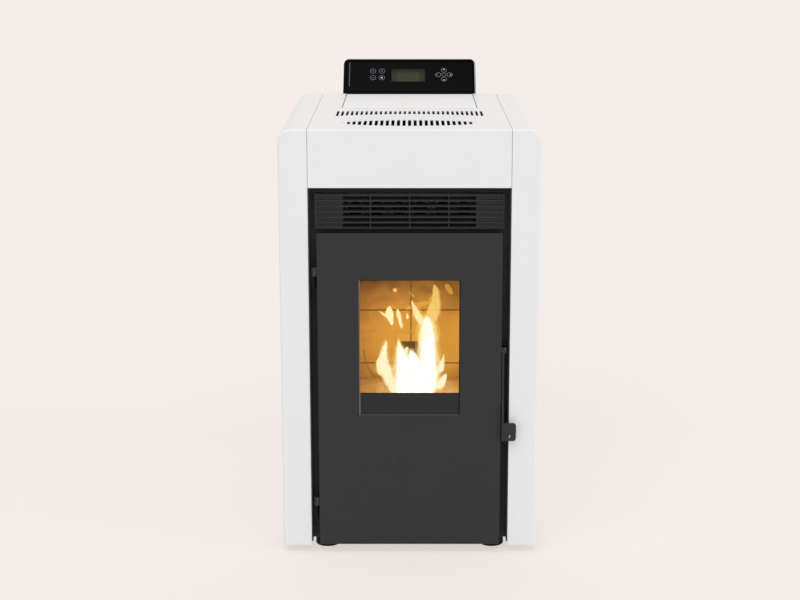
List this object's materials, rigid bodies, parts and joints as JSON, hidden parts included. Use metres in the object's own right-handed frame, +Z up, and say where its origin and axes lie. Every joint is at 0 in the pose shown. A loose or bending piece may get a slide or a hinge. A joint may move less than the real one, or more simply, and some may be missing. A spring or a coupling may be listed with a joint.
{
  "type": "pellet stove",
  "caption": "Upright pellet stove with white sheet casing, dark glazed fire door, slotted top with hopper lid and a sloped control console; feed screw, fans and heat exchanger inside.",
  "frame": {"origin": "centre of the footprint on the floor, at the middle of the whole stove's width and depth", "axes": "+X to the right seen from the front, -Y to the front (door side), +Z up"},
  "size_m": [0.48, 0.7078, 0.8789],
  "materials": {
    "white_coat": "satin powder coat",
    "charcoal_coat": "matt heat-proof paint",
    "furnace_paint": "matt heat-proof paint",
    "zinc_sheet": "zinc-plated sheet",
    "bright_steel": "turned steel",
    "tube_steel": "heat-stained steel tube",
    "cast_iron": "cast, matt",
    "fire_brick": "pressed refractory board",
    "fire_glass": "clear heat-proof ceramic glass",
    "seal_fibre": "woven glass fibre",
    "seal_rubber": "soft silicone",
    "foot_rubber": "black, matt",
    "console_plastic": "glossy black moulding",
    "fascia_black": "glossy black",
    "key_black": "black, slightly satin",
    "screen": "window of a liquid crystal display",
    "circuit_board": "coated board",
    "motor_grey": "grey enamel",
    "inlet_black": "black moulding"
  },
  "bodies": {
    "stove_body": {"air_intake": "zinc_sheet", "air_riser": "zinc_sheet", "auger_motor": "motor_grey", "auger_tube": "zinc_sheet", "baffle_plate": "fire_brick", "base_pan": "zinc_sheet", "blower_housing": "zinc_sheet", "blower_motor": "motor_grey", "burn_pot": "cast_iron", "console_fascia": "fascia_black", "console_housing": "console_plastic", "corner_posts": "zinc_sheet", "display_board": "circuit_board", "display_window": "screen", "exchanger_tubes": "tube_steel", "exhaust_housing": "furnace_paint", "exhaust_motor": "motor_grey", "firebox": "furnace_paint", "front_frame": "charcoal_coat", "hearth_plate": "cast_iron", "hinge_brackets": "charcoal_coat", "hopper": "furnace_paint", "hopper_guard": "zinc_sheet", "igniter": "bright_steel", "latch_catch": "bright_steel", "left_side_panel": "white_coat", "levelling_feet": "foot_rubber", "lid_seal": "seal_rubber", "outlet_grille": "charcoal_coat", "power_board": "circuit_board", "power_inlet": "inlet_black", "rear_fire_brick": "fire_brick", "rear_panel": "zinc_sheet", "right_side_panel": "white_coat", "side_fire_bricks": "fire_brick", "smoke_duct": "furnace_paint", "top_cover": "white_coat"},
    "fire_door": {"door_panel": "charcoal_coat", "door_frame": "charcoal_coat", "door_glass": "fire_glass", "glass_gasket": "seal_fibre", "door_rope_seal": "seal_fibre", "door_screws": "bright_steel", "latch_pivot": "charcoal_coat"},
    "door_latch": {"latch_lever": "charcoal_coat"},
    "lid": {"hopper_lid": "white_coat"},
    "ash_pan": {"ash_drawer": "zinc_sheet"},
    "feed_screw": {"auger_screw": "bright_steel"},
    "room_fan": {"blower_wheel": "bright_steel"},
    "smoke_fan": {"exhaust_wheel": "bright_steel"},
    "main_switch": {"power_switch": "inlet_black"},
    "centre_key_body": {"centre_key": "key_black"},
    "petal_key_up_body": {"petal_key_up": "key_black"},
    "petal_key_down_body": {"petal_key_down": "key_black"},
    "petal_key_left_body": {"petal_key_left": "key_black"},
    "petal_key_right_body": {"petal_key_right": "key_black"},
    "round_key_1_body": {"round_key_1": "key_black"},
    "round_key_2_body": {"round_key_2": "key_black"},
    "round_key_3_body": {"round_key_3": "key_black"},
    "round_key_4_body": {"round_key_4": "key_black"}
  },
  "joints": [
    {"name": "door_hinge", "type": "hinge", "parent": "stove_body", "child": "fire_door", "pos_m": [-0.1774, -0.33994, 0.3], "axis": [0, 0, -1], "range_deg": [0, 110]},
    {"name": "latch_turn", "type": "hinge", "parent": "fire_door", "child": "door_latch", "pos_m": [0.1743, -0.33894, 0.398], "axis": [-1, 0, 0], "range_deg": [0, 35]},
    {"name": "lid_hinge", "type": "hinge", "parent": "stove_body", "child": "lid", "pos_m": [0, 0.26056, 0.806], "axis": [-1, 0, 0], "range_deg": [0, 75]},
    {"name": "ash_pan_slide", "type": "slide", "parent": "stove_body", "child": "ash_pan", "axis": [0, -1, 0], "range_m": [0, 0.01]},
    {"name": "feed_screw_spin", "type": "hinge", "parent": "stove_body", "child": "feed_screw", "pos_m": [0, 0.15026, 0.2748], "axis": [0, -0.7071, 0.7071], "continuous": true},
    {"name": "room_fan_spin", "type": "hinge", "parent": "stove_body", "child": "room_fan", "pos_m": [0.08, -0.03994, 0.115], "axis": [1, 0, 0], "continuous": true},
    {"name": "smoke_fan_spin", "type": "hinge", "parent": "stove_body", "child": "smoke_fan", "pos_m": [-0.11, 0.06006, 0.15], "axis": [1, 0, 0], "continuous": true},
    {"name": "main_switch_rock", "type": "hinge", "parent": "stove_body", "child": "main_switch", "pos_m": [0.1645, 0.26856, 0.08], "axis": [1, 0, 0], "range_deg": [0, 12]},
    {"name": "centre_key_press", "type": "slide", "parent": "stove_body", "child": "centre_key_body", "axis": [0, 0.7071, -0.7071], "range_m": [0, 0.0005], "stiffness_N_per_m": 400, "springref_m": -0.002},
    {"name": "petal_key_up_press", "type": "slide", "parent": "stove_body", "child": "petal_key_up_body", "axis": [0, 0.7071, -0.7071], "range_m": [0, 0.0005], "stiffness_N_per_m": 400, "springref_m": -0.002},
    {"name": "petal_key_down_press", "type": "slide", "parent": "stove_body", "child": "petal_key_down_body", "axis": [0, 0.7071, -0.7071], "range_m": [0, 0.0005], "stiffness_N_per_m": 400, "springref_m": -0.002},
    {"name": "petal_key_left_press", "type": "slide", "parent": "stove_body", "child": "petal_key_left_body", "axis": [0, 0.7071, -0.7071], "range_m": [0, 0.0005], "stiffness_N_per_m": 400, "springref_m": -0.002},
    {"name": "petal_key_right_press", "type": "slide", "parent": "stove_body", "child": "petal_key_right_body", "axis": [0, 0.7071, -0.7071], "range_m": [0, 0.0005], "stiffness_N_per_m": 400, "springref_m": -0.002},
    {"name": "round_key_1_press", "type": "slide", "parent": "stove_body", "child": "round_key_1_body", "axis": [0, 0.7071, -0.7071], "range_m": [0, 0.0005], "stiffness_N_per_m": 400, "springref_m": -0.002},
    {"name": "round_key_2_press", "type": "slide", "parent": "stove_body", "child": "round_key_2_body", "axis": [0, 0.7071, -0.7071], "range_m": [0, 0.0005], "stiffness_N_per_m": 400, "springref_m": -0.002},
    {"name": "round_key_3_press", "type": "slide", "parent": "stove_body", "child": "round_key_3_body", "axis": [0, 0.7071, -0.7071], "range_m": [0, 0.0005], "stiffness_N_per_m": 400, "springref_m": -0.002},
    {"name": "round_key_4_press", "type": "slide", "parent": "stove_body", "child": "round_key_4_body", "axis": [0, 0.7071, -0.7071], "range_m": [0, 0.0005], "stiffness_N_per_m": 400, "springref_m": -0.002}
  ]
}
